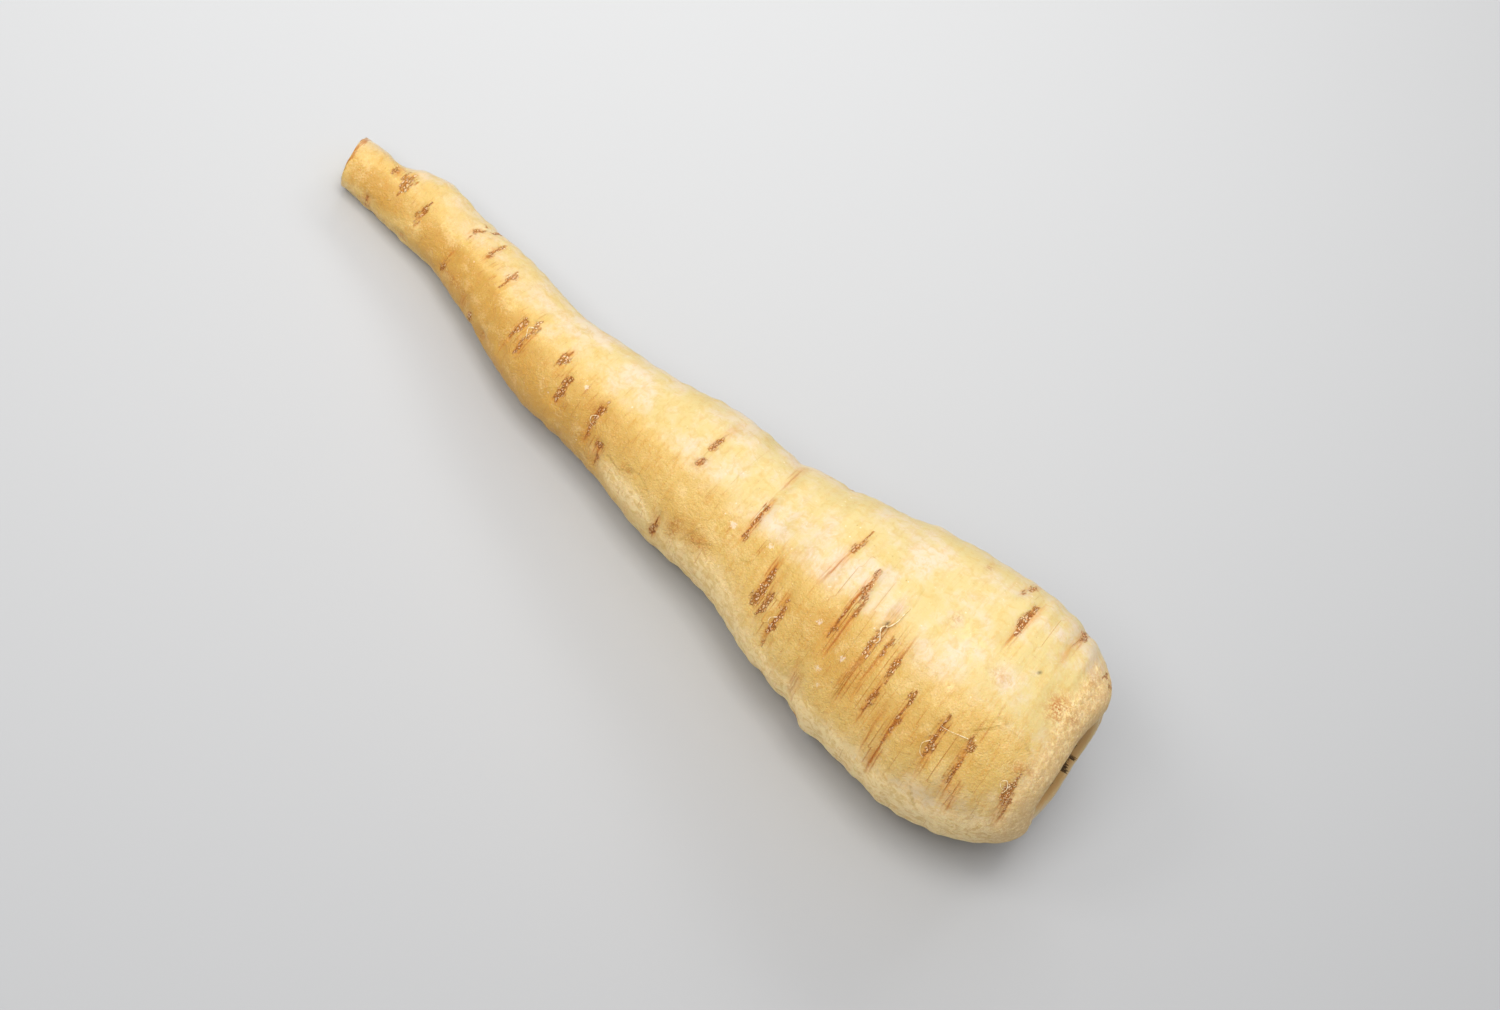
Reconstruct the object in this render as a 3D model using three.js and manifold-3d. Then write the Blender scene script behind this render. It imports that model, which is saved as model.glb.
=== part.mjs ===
// A parsnip: the whole tap root as it is sold, washed, with its leaves cut away and its thin tail cut off.
// It lies on its side, on a flat under its shoulder and a smaller one near the tip.
// Millimetres, +Z up. The crown points to +X and the tip to -X. "Along" runs down the root from the lip
// of the crown, and "around" is an angle in degrees: 0 is the top, 90 the front (-Y), 180 the underside.
import * as THREE from "three";
import { mergeVertices } from "three/addons/utils/BufferGeometryUtils.js";
import Module from "manifold-3d";

const wasm = await Module();
wasm.setup();

// Driving sizes
const LENGTH = 211.5; // from the crown's lip to the cut at the tip
const SHOULDER_RADIUS = 29; // the root at its widest
const SHOULDER_ALONG = 28; // where it is widest
const LIP_RADIUS = 15.5; // the top of the lip round the crown's hollow
const HOLLOW_DEPTH = 6;
const HOLLOW_FLOOR_RADIUS = 7.5;
const TABLE = 0; // height of the surface that the root lies on

// Radius down the root from the shoulder: a steep taper, a long waist, and a knuckle before the cut.
const BODY_RADIUS = [
  [28, 29], [40, 27.5], [51, 26.4], [58, 24.4], [68, 22.4], [84, 18.3], [105, 17.2],
  [126, 13.6], [147, 11.5], [168, 9.7], [181, 8.5], [190, 8.5], [199, 7.5], [211.5, 6.2],
];

// The root's middle line at every SPINE_STEP, bowed towards the front and dropping as the root thins.
const SPINE_STEP = 21;
const SPINE = [
  [105.1, 4, 31.4], [84.1, 0.8, 28.8], [63.1, -0.6, 26.3], [42.2, -2.2, 23.8],
  [21, -2.2, 21.3], [-0.1, -2.3, 18.7], [-21.1, -2.9, 16.1], [-42.4, -2.6, 13.5],
  [-63.9, 2.1, 10.9], [-85, 4.6, 8.2], [-105.7, 2.5, 6.1],
];

// Scars of shed side roots, short furrows across the root: along, around (from, to), how far along it
// shifts from one end to the other, and depth.
const SCARS = [
  [6.75, 60, 96, -2.1, 0.7], [16.05, 72, 98, -1.1, 0.4], [18.2, 51, 96, -1.4, 0.8],
  [24.25, 52, 91, -0.5, 0.8], [32.55, 52, 111, -0.7, 0.8], [35.95, 64, 101, -0.9, 0.4],
  [40.1, 31, 92, -0.2, 0.8], [44.45, 41, 81, 0.5, 0.6], [45.75, 27, 62, 0.1, 0.3],
  [47.3, 20, 92, -0.2, 1], [47.95, 52, 88, 0.1, 0.3], [54.4, 36, 73, 0.2, 0.6],
  [56.15, 14, 66, 0.9, 0.9], [56.4, 86, 112, 0.4, 0.4], [57.3, 84, 104, 0.2, 0.3],
  [63.3, 1, 46, 1.4, 0.6], [66.55, 54, 97, -1.3, 0.7], [70.8, 47, 93, -1.6, 0.6],
  [72.85, 44, 84, -1.9, 0.7], [84.8, -45, 14, -1.6, 0.6], [83.55, 12, 60, -1.1, 0.6],
  [101.5, -28, 34, 0.4, 0.7], [101.45, 82, 117, -0.5, 0.6], [122.1, 74, 109, -0.8, 0.5],
  [126.4, 42, 98, -0.4, 0.6], [136.55, 43, 82, -0.5, 0.6], [140.15, 17, 52, 0.1, 0.5],
  [149.05, 32, 74, -0.1, 0.5], [151.95, 36, 92, 0.1, 0.5], [147.8, 54, 72, 1.6, 0.2],
  [157.9, 92, 116, 0.6, 0.5], [162.05, 8, 40, -0.9, 0.5], [170.15, -16, 37, -0.9, 0.5],
  [167.1, 78, 112, 0.6, 0.4], [176.65, -10, 30, -0.5, 0.4], [176.7, 46, 100, 0.6, 0.5],
  [189.05, 28, 66, -0.3, 0.6], [190.4, 92, 118, -0.4, 0.4], [197.6, -12, 40, 0.4, 0.6],
  [200.7, -22, 20, 0.6, 0.3], [203.1, 76, 128, -0.2, 0.5], [12.75, -52, 6, 1.5, 0.6],
  [24.3, -24, 16, 1.4, 0.7], [28.8, -45, -13, 1.6, 0.6],
];
const HIDDEN_SCARS = 46; // more of them, spread over the back and the underside
const HIDDEN_FROM = 128; // around, where the ones listed above end
const HIDDEN_TO = 308;

// Swellings and folds that run part of the way round: along, around, half-length, half-turn, height.
const FOLDS = [
  [51.5, 150, 3.2, 46, 0.9], [56.8, 138, 1.8, 44, -0.9], [46.5, 160, 2.2, 40, -0.5],
  [81, -40, 5, 60, 0.5], [87.6, -42, 1.8, 62, -0.6], [98, 20, 7, 80, 0.5],
  [119, 70, 6, 70, -0.4], [144, 120, 9, 60, 0.8], [150, -40, 9, 60, -0.4],
  [158, 200, 6, 90, 0.5], [178, 110, 6, 80, -0.3], [189, -45, 4.5, 60, 0.9],
  [199.5, -40, 3, 50, -0.8], [14, -60, 8, 50, 0.6], [33, 60, 10, 60, 0.5],
  [70, 215, 6, 70, 0.6], [93, 250, 4, 80, -0.5], [112, 190, 7, 60, 0.4],
  [134, 260, 5, 70, 0.5], [40, 250, 7, 70, 0.6], [48, 265, 3, 60, -0.6],
  [203.5, -52, 3, 42, -1.1], [196, -50, 3, 40, 0.5],
];

// Mesh fineness of the skin
const SIDES = 44;
const HOLLOW_RINGS = 6;
const SHOULDER_RINGS = 14;
const BODY_RINGS = 104;
const SCAR_HALF_WIDTH = 1.4;

const radians = THREE.MathUtils.degToRad;
const smoothstep = THREE.MathUtils.smoothstep;
const fraction = (value) => value - Math.floor(value);

// A smooth line through [x, y] points with the slope at each point taken from its neighbours.
function smoothLine(points, x) {
  const last = points.length - 1;
  const found = points.findIndex((point) => point[0] > x);
  const i = found < 0 ? last - 1 : Math.max(found - 1, 0);
  const slope = (k) => {
    const [before, after] = [points[Math.max(k - 1, 0)], points[Math.min(k + 1, last)]];
    return (after[1] - before[1]) / (after[0] - before[0]);
  };
  const [[x0, y0], [x1, y1]] = [points[i], points[i + 1]];
  const width = x1 - x0;
  const t = THREE.MathUtils.clamp((x - x0) / width, 0, 1);
  const [t2, t3] = [t * t, t * t * t];
  return (2 * t3 - 3 * t2 + 1) * y0 + (t3 - 2 * t2 + t) * width * slope(i)
    + (3 * t2 - 2 * t3) * y1 + (t3 - t2) * width * slope(i + 1);
}

const spineAxis = (axis) => SPINE.map((point, i) => [i * SPINE_STEP, point[axis]]);
const [SPINE_X, SPINE_Y, SPINE_Z] = [0, 1, 2].map(spineAxis);
const SPINE_END = (SPINE.length - 1) * SPINE_STEP; // past it, and above its start, the root runs straight

function spine(along) {
  return new THREE.Vector3(
    smoothLine(SPINE_X, along), smoothLine(SPINE_Y, along), smoothLine(SPINE_Z, along));
}

// The middle line's place, its direction down the root, and the directions up and to the front from it.
function section(along) {
  const held = THREE.MathUtils.clamp(along, 1, SPINE_END - 1);
  const down = spine(held + 1).sub(spine(held - 1)).normalize();
  const up = new THREE.Vector3(0, 0, 1).addScaledVector(down, -down.z).normalize();
  const front = new THREE.Vector3().crossVectors(up, down);
  const middle = spine(held).addScaledVector(down, along - held);
  return { middle, up, front };
}

// How far apart two angles are, in degrees, from 0 to 180.
function turnBetween(a, b) {
  return Math.abs(((a - b) % 360 + 540) % 360 - 180);
}

// Scars on the side that can't be seen, spread evenly by two irrational steps.
function hiddenScars() {
  return Array.from({ length: HIDDEN_SCARS }, (_, i) => {
    const along = 6 + (LENGTH - 14) * fraction(0.31 + i * 0.618034) ** 1.15;
    const middle = HIDDEN_FROM + (HIDDEN_TO - HIDDEN_FROM) * fraction(0.2 + i * 0.754878);
    const half = 9 + 17 * fraction(i * 0.569841);
    const shift = 1.6 * fraction(i * 0.381966) - 0.8;
    return [along, middle - half, middle + half, shift, 0.4 + 0.4 * fraction(i * 0.27)];
  });
}
const ALL_SCARS = [...SCARS, ...hiddenScars()];

function scarDepth(along, around) {
  let depth = 0;
  for (const [at, from, to, shift, deep] of ALL_SCARS) {
    const half = (to - from) / 2;
    const turn = ((around - (from + to) / 2) % 360 + 540) % 360 - 180;
    const off = along - at - (shift * turn) / (2 * half);
    if (Math.abs(turn) > half * 1.3 || Math.abs(off) > SCAR_HALF_WIDTH * 3) continue;
    const fade = 1 - smoothstep(Math.abs(turn), half * 0.6, half * 1.3);
    depth = Math.max(depth, deep * fade * Math.exp(-((off / SCAR_HALF_WIDTH) ** 2)));
  }
  return depth;
}

function foldHeight(along, around) {
  let height = 0;
  for (const [at, middle, halfLength, halfTurn, high] of FOLDS) {
    const off = (along - at) / halfLength;
    const turn = turnBetween(around, middle) / halfTurn;
    height += high * Math.exp(-off * off - turn * turn);
  }
  return height;
}

// The section isn't round: it has shallow lobes that turn slowly down the root, and soft growth rings
// that come and go round it.
function lobeHeight(along, around, radius) {
  const angle = radians(around);
  const lobes = 0.018 * Math.cos(2 * angle + 0.021 * along + 0.6)
    + 0.012 * Math.cos(3 * angle - 0.034 * along + 2.1) + 0.007 * Math.cos(5 * angle + 0.06 * along);
  const wideRings = 0.14 * Math.sin(along * 0.93 + 1.3 * Math.sin(angle + 0.5))
    * (1 + Math.cos(2 * angle + 0.07 * along));
  const fineRings = 0.1 * Math.sin(along * 1.57 + 1.9 * Math.sin(angle - 1.1) + 1)
    * (1 + Math.cos(3 * angle - 0.11 * along + 2));
  return radius * lobes + wideRings + fineRings;
}

function relief(along, around, radius) {
  const onSkin = smoothstep(radius, LIP_RADIUS, LIP_RADIUS + 4) + smoothstep(along, 60, 90);
  return Math.min(onSkin, 1)
    * (lobeHeight(along, around, radius) + foldHeight(along, around) - scarDepth(along, around));
}

// The lip isn't level: it stands proud on the underside, and rises and falls in soft lobes.
function lipRise(radius, around) {
  const angle = radians(around);
  const nearLip = smoothstep(radius, HOLLOW_FLOOR_RADIUS, LIP_RADIUS) * (1 - smoothstep(radius, 17, 26));
  return nearLip * (0.4 - Math.cos(angle - 0.6)
    + 0.3 * Math.cos(3 * angle + 0.6) + 0.3 * Math.cos(5 * angle + 2));
}

// One corner of the skin, where along and radius come from the outline.
function skinPoint(along, radius, around) {
  const crownShare = 1 - smoothstep(along, 8, 20);
  const raised = along - lipRise(radius, around) * crownShare;
  const { middle, up, front } = section(raised);
  const reach = radius + relief(raised, around, radius);
  const angle = radians(around);
  middle.addScaledVector(up, reach * Math.cos(angle)).addScaledVector(front, reach * Math.sin(angle));
  middle.z = Math.max(middle.z, TABLE);
  return middle;
}

// The outline from the middle of the crown's hollow, over the lip and the shoulder, to the cut tip.
function outline() {
  const rows = [];
  for (let i = 1; i <= HOLLOW_RINGS; i++) {
    const radius = (LIP_RADIUS * i) / HOLLOW_RINGS;
    rows.push([HOLLOW_DEPTH * (1 - smoothstep(radius, HOLLOW_FLOOR_RADIUS, LIP_RADIUS)), radius]);
  }
  for (let i = 1; i <= SHOULDER_RINGS; i++) {
    const turn = (Math.PI / 2) * (i / SHOULDER_RINGS);
    rows.push([SHOULDER_ALONG * (1 - Math.cos(turn)),
      LIP_RADIUS + (SHOULDER_RADIUS - LIP_RADIUS) * Math.sin(turn)]);
  }
  for (let i = 1; i <= BODY_RINGS; i++) {
    const along = SHOULDER_ALONG + ((LENGTH - SHOULDER_ALONG) * i) / BODY_RINGS;
    rows.push([along, smoothLine(BODY_RADIUS, along)]);
  }
  return rows;
}

// The cut leans: it takes off more at the front of the underside than at the back.
const CUT_LEAN = 1.1;
const CUT_LEAN_AROUND = 135;
function cutShift(around) {
  return -CUT_LEAN * Math.cos(radians(around - CUT_LEAN_AROUND));
}

function rootGeometry() {
  const rows = outline();
  const corners = [];
  rows.forEach(([along, radius], row) => {
    const cutShare = smoothstep(row, rows.length - 5, rows.length - 1);
    for (let side = 0; side < SIDES; side++) {
      const around = (360 * side) / SIDES;
      corners.push(skinPoint(along + cutShift(around) * cutShare, radius, around));
    }
  });
  const hollowMiddle = corners.push(skinPoint(HOLLOW_DEPTH, 0, 0)) - 1;
  const cutMiddle = corners.push(section(LENGTH).middle) - 1;
  const faces = [];
  for (let side = 0; side < SIDES; side++) {
    const next = (side + 1) % SIDES;
    faces.push(hollowMiddle, side, next);
    for (let row = 0; row < rows.length - 1; row++) {
      const [a, b] = [row * SIDES + side, row * SIDES + next];
      faces.push(a, b + SIDES, b, a, a + SIDES, b + SIDES);
    }
    const end = (rows.length - 1) * SIDES;
    faces.push(cutMiddle, end + next, end + side);
  }
  const geometry = new THREE.BufferGeometry().setFromPoints(corners).setIndex(faces);
  geometry.computeVertexNormals();
  return geometry;
}

// What is left of the leaf stalks: dry stubs on one button in the crown's hollow, in three whorls.
const SEAT_GAP = 0.3; // clear of the hollow's floor
const BUTTON_RADIUS = 6.4;
const BUTTON_THICKNESS = 1.6;
const STUB_SIDES = 6;
const WHORLS = [
  // stubs in the whorl, distance from the middle, height, width, lean outwards in degrees
  { count: 9, out: 4.7, height: 4.6, width: 3.2, lean: 4 },
  { count: 6, out: 2.7, height: 5.7, width: 2.8, lean: 2 },
  { count: 3, out: 1, height: 6.2, width: 2.2, lean: 0 },
];

function solidOf(geometry) {
  const bare = geometry.clone();
  bare.deleteAttribute("normal");
  bare.deleteAttribute("uv");
  const merged = mergeVertices(bare, 1e-4);
  return new wasm.Manifold(new wasm.Mesh({
    numProp: 3,
    vertProperties: new Float32Array(merged.attributes.position.array),
    triVerts: new Uint32Array(merged.index.array),
  }));
}

function geometryOf(solid) {
  const { vertProperties, triVerts } = solid.getMesh();
  const geometry = new THREE.BufferGeometry()
    .setAttribute("position", new THREE.BufferAttribute(vertProperties, 3))
    .setIndex(new THREE.BufferAttribute(triVerts, 1));
  geometry.computeVertexNormals();
  return geometry;
}

// A flattened stub along +Y with its foot in the button, widest across X and narrower at its torn top.
function stubGeometry(whorl, index) {
  const height = whorl.height * (0.75 + 0.35 * fraction(0.1 + index * 0.618034));
  const stub = new THREE.CylinderGeometry(whorl.width * 0.22, whorl.width * 0.5, height, STUB_SIDES, 2);
  const place = new THREE.Matrix4()
    .makeRotationY((2 * Math.PI * index) / whorl.count + whorl.out)
    .multiply(new THREE.Matrix4().makeTranslation(0, height / 2, whorl.out))
    .multiply(new THREE.Matrix4().makeRotationX(radians(whorl.lean)))
    .multiply(new THREE.Matrix4().makeScale(1, 1, 0.55));
  return stub.applyMatrix4(place);
}

function stubsGeometry() {
  const button = new THREE.CylinderGeometry(BUTTON_RADIUS - 0.8, BUTTON_RADIUS, BUTTON_THICKNESS, 20)
    .translate(0, BUTTON_THICKNESS / 2, 0);
  let stubs = solidOf(button);
  for (const whorl of WHORLS) {
    for (let index = 0; index < whorl.count; index++) stubs = stubs.add(solidOf(stubGeometry(whorl, index)));
  }
  const floor = section(HOLLOW_DEPTH - SEAT_GAP);
  const outwards = section(1).middle.sub(section(3).middle).normalize();
  const across = new THREE.Vector3().crossVectors(outwards, floor.up);
  const seat = new THREE.Matrix4().makeBasis(across, outwards, across.clone().cross(outwards))
    .setPosition(floor.middle);
  return geometryOf(stubs).applyMatrix4(seat);
}

const skin = new THREE.MeshStandardMaterial({ color: 0xe9c98b, roughness: 0.55, metalness: 0 });
const dryStalk = new THREE.MeshStandardMaterial({ color: 0x6b5334, roughness: 0.9, metalness: 0 });

const taproot = new THREE.Mesh(rootGeometry(), skin);
taproot.name = "taproot";
const leafStubs = new THREE.Mesh(stubsGeometry(), dryStalk);
leafStubs.name = "leaf_stubs";

const parsnip = new THREE.Group();
parsnip.add(taproot, leafStubs);

export default parsnip;
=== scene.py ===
# A parsnip: the whole washed tap root, lying on its side with its leaves and its thin tail cut off.
# The lists below measure the root in millimetres "along" it from the lip of its crown, and in degrees
# "around" it from its top: 90 is the front, 180 the underside, and a negative angle the back.
import math

import bpy
import numpy as np
from mathutils import Matrix, Vector, noise


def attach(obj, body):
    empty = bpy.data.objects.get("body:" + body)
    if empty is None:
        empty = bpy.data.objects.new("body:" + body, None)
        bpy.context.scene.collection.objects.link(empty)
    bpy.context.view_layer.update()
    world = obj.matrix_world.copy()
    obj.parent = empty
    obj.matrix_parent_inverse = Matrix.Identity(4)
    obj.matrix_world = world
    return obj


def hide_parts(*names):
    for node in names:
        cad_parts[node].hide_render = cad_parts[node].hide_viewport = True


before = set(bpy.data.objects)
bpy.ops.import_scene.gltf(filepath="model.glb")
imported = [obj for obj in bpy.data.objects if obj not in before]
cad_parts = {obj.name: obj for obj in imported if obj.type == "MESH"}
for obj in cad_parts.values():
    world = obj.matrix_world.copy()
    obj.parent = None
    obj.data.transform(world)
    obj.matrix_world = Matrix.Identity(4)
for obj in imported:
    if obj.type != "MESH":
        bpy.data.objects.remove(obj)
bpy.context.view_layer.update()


# The camera stands in front of the root and above it, with a long lens. It is rolled over, so that the
# root runs down the picture from its tip at the upper left to its crown at the lower right.
CAMERA_AZIMUTH = math.radians(9)  # from straight in front towards the crown
CAMERA_ELEVATION = math.radians(48)
CAMERA_ROLL = math.radians(38.7)
CAMERA_DISTANCE = 0.946
CAMERA_RIGHT = 0.0196  # from the root's middle, along the picture's own edges
CAMERA_UP = 0.0015
CAMERA_LENS = 100

toward = Vector((
    -math.sin(CAMERA_AZIMUTH) * math.cos(CAMERA_ELEVATION),
    math.cos(CAMERA_AZIMUTH) * math.cos(CAMERA_ELEVATION),
    -math.sin(CAMERA_ELEVATION),
))
level_right = toward.cross(Vector((0, 0, 1))).normalized()
level_up = level_right.cross(toward)
picture_right = math.cos(CAMERA_ROLL) * level_right + math.sin(CAMERA_ROLL) * level_up
picture_up = math.cos(CAMERA_ROLL) * level_up - math.sin(CAMERA_ROLL) * level_right
camera = bpy.data.objects.new("camera", bpy.data.cameras.new("camera"))
camera.data.lens = CAMERA_LENS
camera.data.clip_end = 20
camera.matrix_world = Matrix((picture_right, picture_up, -toward)).transposed().to_4x4()
camera.location = (
    -CAMERA_DISTANCE * toward + CAMERA_RIGHT * picture_right + CAMERA_UP * picture_up
)
bpy.context.scene.collection.objects.link(camera)
bpy.context.scene.camera = camera
bpy.context.scene.view_settings.view_transform = "Standard"


# The tap root is one grown piece: a broad shoulder round a hollow crown, a steep taper, a long waist and
# a knuckle before the cut tip. Short furrows cross it, the scars of side roots that it has shed.
LENGTH = 211.5
SHOULDER_RADIUS = 29
SHOULDER_ALONG = 28
LIP_RADIUS = 15.5
HOLLOW_DEPTH = 6
HOLLOW_FLOOR_RADIUS = 7.5
BODY_RADIUS = [
    [28, 29], [40, 27.5], [51, 26.4], [58, 24.4], [68, 22.4], [84, 18.3], [105, 17.2],
    [126, 13.6], [147, 11.5], [168, 9.7], [181, 8.5], [190, 8.5], [199, 7.5], [211.5, 6.2],
]
SPINE_STEP = 21
SPINE = np.array([
    [105.1, 4, 31.4], [84.1, 0.8, 28.8], [63.1, -0.6, 26.3], [42.2, -2.2, 23.8],
    [21, -2.2, 21.3], [-0.1, -2.3, 18.7], [-21.1, -2.9, 16.1], [-42.4, -2.6, 13.5],
    [-63.9, 2.1, 10.9], [-85, 4.6, 8.2], [-105.7, 2.5, 6.1],
])
SPINE_END = SPINE_STEP * (len(SPINE) - 1)

# Scars: along and around at one end, along and around at the other, depth, and how brown the line is
SCARS = [
    [7.8, 60, 5.7, 96, 0.7, 0.8], [16.6, 72, 15.5, 98, 0.4, 0.7], [18.9, 51, 17.5, 96, 0.8, 0.8],
    [24.5, 52, 24, 91, 0.8, 0.7], [32.9, 52, 32.2, 111, 0.8, 1], [36.4, 64, 35.5, 101, 0.4, 0.5],
    [40.2, 31, 40, 92, 0.8, 0.9], [44.2, 41, 44.7, 81, 0.6, 0.6], [45.7, 27, 45.8, 62, 0.3, 0.4],
    [47.4, 20, 47.2, 92, 1, 0.7], [47.9, 52, 48, 88, 0.3, 0.7], [54.3, 36, 54.5, 73, 0.6, 0.8],
    [55.7, 14, 56.6, 66, 0.9, 1], [56.2, 86, 56.6, 112, 0.4, 0.5], [57.2, 84, 57.4, 104, 0.3, 0.4],
    [62.6, 1, 64, 46, 0.6, 0.7], [67.2, 54, 65.9, 97, 0.7, 0.9], [71.6, 47, 70, 93, 0.6, 0.5],
    [73.8, 44, 71.9, 84, 0.7, 0.9], [85.6, -45, 84, 14, 0.6, 0.5], [84.1, 12, 83, 60, 0.6, 1],
    [101.3, -28, 101.7, 34, 0.7, 0.4], [101.7, 82, 101.2, 117, 0.6, 1], [122.5, 74, 121.7, 109, 0.5, 0.8],
    [126.6, 42, 126.2, 98, 0.6, 1], [136.8, 43, 136.3, 82, 0.6, 1], [140.1, 17, 140.2, 52, 0.5, 0.5],
    [149.1, 32, 149, 74, 0.5, 0.7], [151.9, 36, 152, 92, 0.5, 0.4], [147, 54, 148.6, 72, 0.2, 0.5],
    [157.6, 92, 158.2, 116, 0.5, 0.8], [162.5, 8, 161.6, 40, 0.5, 0.4], [170.6, -16, 169.7, 37, 0.5, 0.5],
    [166.8, 78, 167.4, 112, 0.4, 0.5], [176.9, -10, 176.4, 30, 0.4, 0.4], [176.4, 46, 177, 100, 0.5, 0.7],
    [189.2, 28, 188.9, 66, 0.6, 0.7], [190.6, 92, 190.2, 118, 0.4, 0.6], [197.4, -12, 197.8, 40, 0.6, 0.3],
    [200.4, -22, 201, 20, 0.3, 0.5], [203.2, 76, 203, 128, 0.5, 1], [12, -52, 13.5, 6, 0.6, 0.6],
    [23.6, -24, 25, 16, 0.7, 0.7], [28, -45, 29.6, -13, 0.6, 0.5],
]
HIDDEN_SCARS = 46
HIDDEN_FROM = 128
HIDDEN_TO = 308
SCAR_HALF_WIDTH = 1.4
PITS = [  # small dark holes where a rootlet stood: along, around, radius, depth
    [47.4, 37.5, 0.6, 1.3], [54.9, 34, 0.3, 0.4], [15.6, 12, 0.25, 0.2], [38.2, 54, 0.25, 0.2],
]
KNOT_REACH = 1.6  # a knot tapers to thin ends, past its rough middle
RAGGED_EDGE = 1.0  # millimetres by which the knots wander off their outline

# Knots, rough corky patches where a side root broke off: along, around, half-length round the root,
# half-width along it, how dark, and how flaky
KNOTS = [
    [7.2, 68, 3.2, 1.1, 0.7, 1], [6.2, 79, 2.4, 0.6, 0.8, 0.2], [18.6, 60, 2.4, 0.9, 1, 0.4],
    [18.4, 70, 3.4, 0.7, 0.8, 0.3], [24.4, 58, 2.2, 0.9, 1, 0.5], [24.3, 68, 2.8, 0.9, 0.8, 0.6],
    [32.8, 57, 1.6, 0.8, 1, 0.5], [32.6, 70, 4.6, 0.6, 0.6, 0.3], [40.1, 52, 2.2, 1, 0.6, 1],
    [40.1, 72, 4.6, 0.6, 0.8, 0.2], [44.2, 45, 1.8, 0.6, 0.6, 0.2], [47.4, 48, 3.2, 1, 0.5, 0.9],
    [54.1, 41, 2.2, 0.7, 0.5, 0.2], [55.6, 25, 3.4, 0.8, 0.8, 0.2], [54.9, 34, 0.9, 0.5, 1, 0],
    [56.1, 50, 3.6, 0.6, 0.8, 0.3], [62.7, 9, 2.8, 0.7, 0.8, 0.2], [66.3, 75, 3.6, 0.9, 0.9, 0.8],
    [66.1, 93, 1.2, 0.5, 1, 0], [70.1, 74, 2.8, 0.8, 0.9, 0.4], [72.6, 68, 4.4, 0.9, 0.9, 0.7],
    [83.3, 39, 1.9, 0.8, 0.7, 0.6], [83.9, 24, 2.6, 0.4, 0.8, 0.1], [83, 51, 1.4, 0.7, 0.7, 0.4],
    [101.5, 13, 1.7, 0.8, 0.6, 0.1], [101.3, 32, 1, 0.7, 0.9, 0.1], [101.5, 101, 2.6, 0.9, 1, 0.2],
    [122.5, 80, 1, 0.8, 1, 0.6], [121.9, 97, 2, 0.5, 0.7, 0.2], [126.4, 54, 2.6, 0.8, 1, 0.5],
    [126.4, 70, 2, 0.7, 0.8, 0.5], [136.6, 52, 1.6, 0.7, 1, 0.5], [136.5, 65, 1.8, 0.9, 1, 0.6],
    [140.2, 36, 2, 0.8, 0.7, 0.8], [149.2, 39, 2, 0.8, 0.3, 1], [149.1, 55, 2.8, 0.6, 0.8, 0.6],
    [151.7, 45, 1.4, 0.6, 0.4, 0.4], [151.8, 66, 1.6, 0.5, 0.6, 0.4], [162.4, 16, 1.5, 0.9, 0.5, 0.3],
    [161.9, 26, 1.6, 0.35, 0.7, 0.2], [162.9, 99, 1.2, 1, 0.9, 1], [170.2, 2, 2.2, 0.5, 0.5, 0.5],
    [169.8, 16, 1.8, 0.3, 0.6, 0.2], [176.8, -4, 1.6, 0.5, 0.7, 0.3], [176.5, 10, 1.6, 0.3, 0.5, 0.2],
    [176.6, 84, 1.5, 0.8, 1, 0.2], [189.1, 38, 1.6, 0.6, 0.8, 0.3], [188.9, 52, 1.9, 0.8, 0.6, 0.9],
    [190.3, 44, 1.4, 0.3, 0.5, 0.2], [197.3, 16, 2.6, 1.1, 0.5, 0.8], [198.8, 6, 1.8, 0.5, 0.6, 0.4],
    [196, 22, 1.8, 0.5, 0.6, 0.5], [201.2, -2, 1.8, 0.4, 0.7, 0.2], [201.6, 9, 1.3, 0.35, 0.6, 0.2],
    [203, 92, 1.2, 0.6, 1, 0.1], [12.2, -30, 2.8, 0.9, 1, 0.4], [24.7, -5, 4, 1.2, 0.9, 0.8],
    [29.3, -19, 1.3, 0.6, 0.9, 0.3], [28.4, -28, 2, 1, 0.5, 0.6], [1.8, -29, 1.6, 0.5, 0.9, 0.6],
    [3.7, -31, 2.6, 0.5, 0.8, 0.4],
]

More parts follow.
